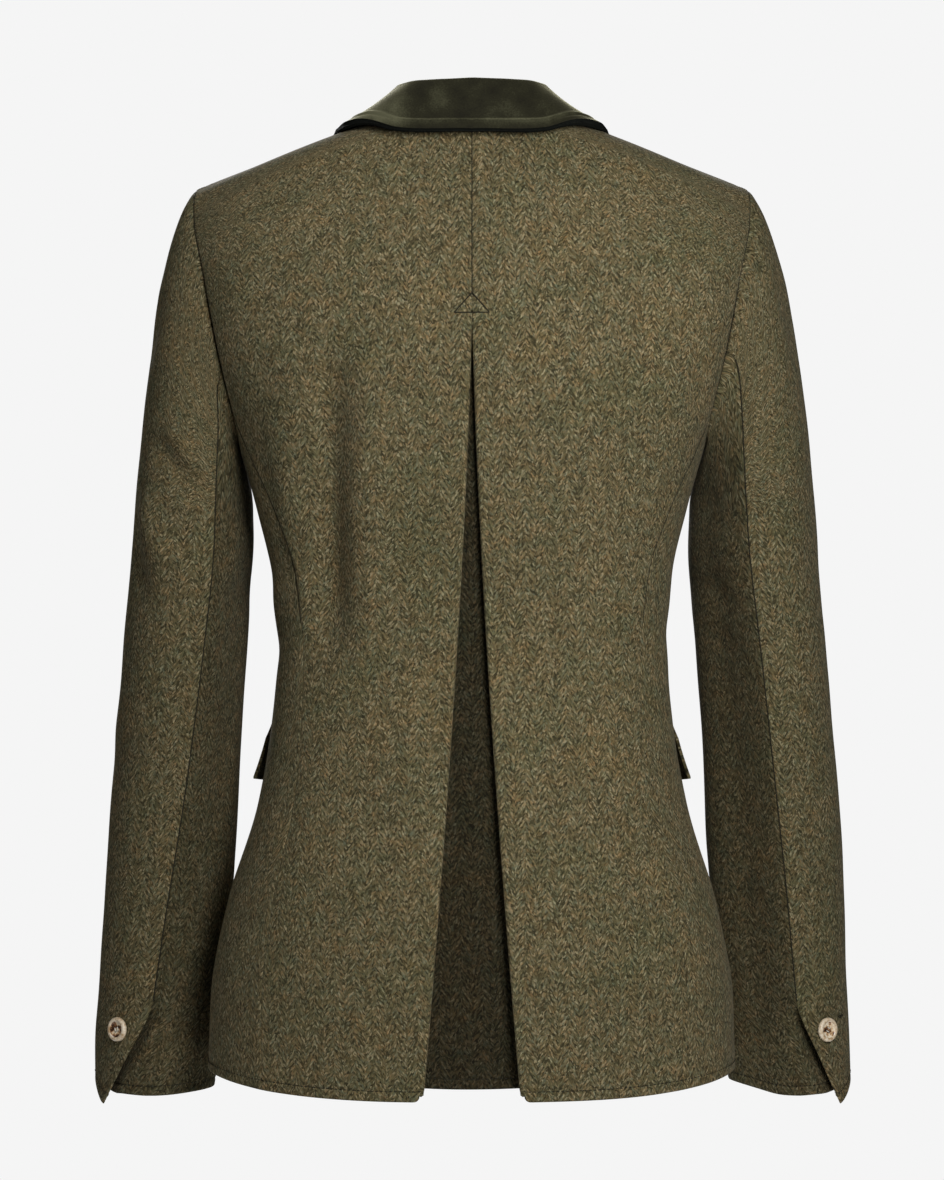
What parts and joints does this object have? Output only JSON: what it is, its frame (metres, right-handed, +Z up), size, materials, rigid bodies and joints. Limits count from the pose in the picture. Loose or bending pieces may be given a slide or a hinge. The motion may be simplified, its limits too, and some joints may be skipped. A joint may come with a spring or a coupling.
{
  "type": "alpine jacket",
  "caption": "Fitted hip-length tweed jacket with a velvet collar, inverted back pleat and vented sleeves, filled out as worn and hollow.",
  "frame": {"origin": "level with the neck points, on the line from neck point to neck point, where the wearer's shoulders hold the jacket up", "axes": "+Z up along the length, +Y out of the back, +X to the wearer's left"},
  "size_m": [0.539, 0.2557, 0.7205],
  "materials": {
    "tweed": "herringbone wool tweed, matt",
    "velvet": "dark olive cotton velvet with a soft nap",
    "horn": "polished stag horn, cream with brown streaks"
  },
  "bodies": {
    "root": {"back_left": "tweed", "back_right": "tweed", "pleat_underlay": "tweed", "side_left": "tweed", "side_right": "tweed", "front_left": "tweed", "front_right": "tweed", "lapel_left": "tweed", "lapel_right": "tweed", "collar": "velvet", "sleeve_top_left": "tweed", "sleeve_top_right": "tweed", "sleeve_under_left": "tweed", "sleeve_under_right": "tweed", "flap_left": "tweed", "flap_right": "tweed", "cuff_button_left": "horn", "cuff_button_right": "horn", "front_button_upper": "horn", "front_button_lower": "horn"}
  },
  "joints": []
}
